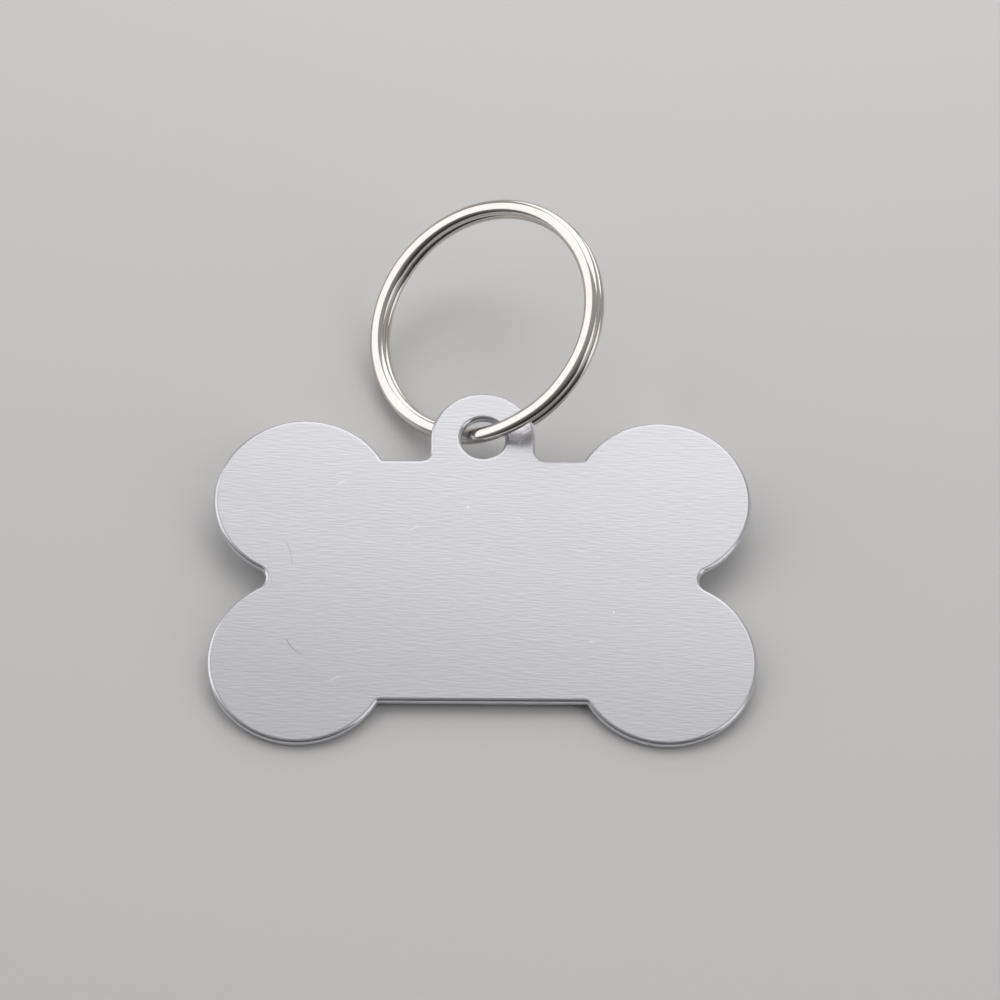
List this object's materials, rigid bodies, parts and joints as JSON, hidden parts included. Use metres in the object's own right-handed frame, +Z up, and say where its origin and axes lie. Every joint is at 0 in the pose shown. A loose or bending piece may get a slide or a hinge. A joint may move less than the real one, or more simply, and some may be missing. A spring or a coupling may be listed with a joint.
{
  "type": "pet id tag",
  "caption": "Flat bone-shaped metal pet tag with a holed tab, hanging on a split ring that threads onto a collar; the ring swings in the tab's hole.",
  "frame": {"origin": "on the table, under the middle of the box round the whole object as it lies", "axes": "+X along the bone, +Y from the bone towards the ring, +Z up from the table"},
  "size_m": [0.05, 0.055, 0.0141],
  "materials": {
    "brushed_aluminium": "brushed along the bone, edges tumbled bright",
    "polished_nickel": "polished nickel plating on spring steel"
  },
  "bodies": {
    "tag": {"tag_plate": "brushed_aluminium"},
    "ring": {"split_ring": "polished_nickel"}
  },
  "joints": [
    {"name": "ring_swing", "type": "hinge", "parent": "tag", "child": "ring", "pos_m": [0, 0.00385, 0.00387], "axis": [0, 0, 1], "range_deg": [-95, 35]}
  ]
}
